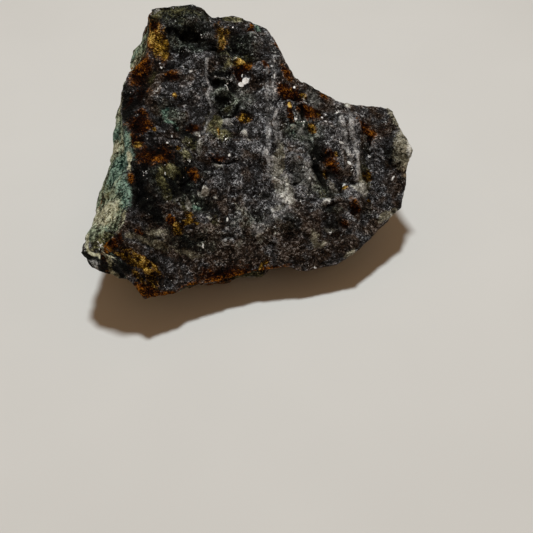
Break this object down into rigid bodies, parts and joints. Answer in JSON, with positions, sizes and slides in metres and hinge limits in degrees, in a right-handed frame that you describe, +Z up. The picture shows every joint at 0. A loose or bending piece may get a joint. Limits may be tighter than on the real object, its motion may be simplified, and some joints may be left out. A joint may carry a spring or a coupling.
{
  "type": "mineral specimen",
  "caption": "Broken hand specimen of dark copper ore with brassy chalcopyrite patches, pale quartz veins and a green copper crust, lying on a small flat break.",
  "frame": {"origin": "middle of the underside, on the plane the specimen lies on", "axes": "+Z up, -Y towards the low front edge, +X towards the quartz tip at the right"},
  "size_m": [0.057, 0.0556, 0.0344],
  "materials": {
    "copper_ore": "rough broken ore, dark lilac grey with fine metallic glints"
  },
  "bodies": {
    "root": {"ore_specimen": "copper_ore"}
  },
  "joints": []
}
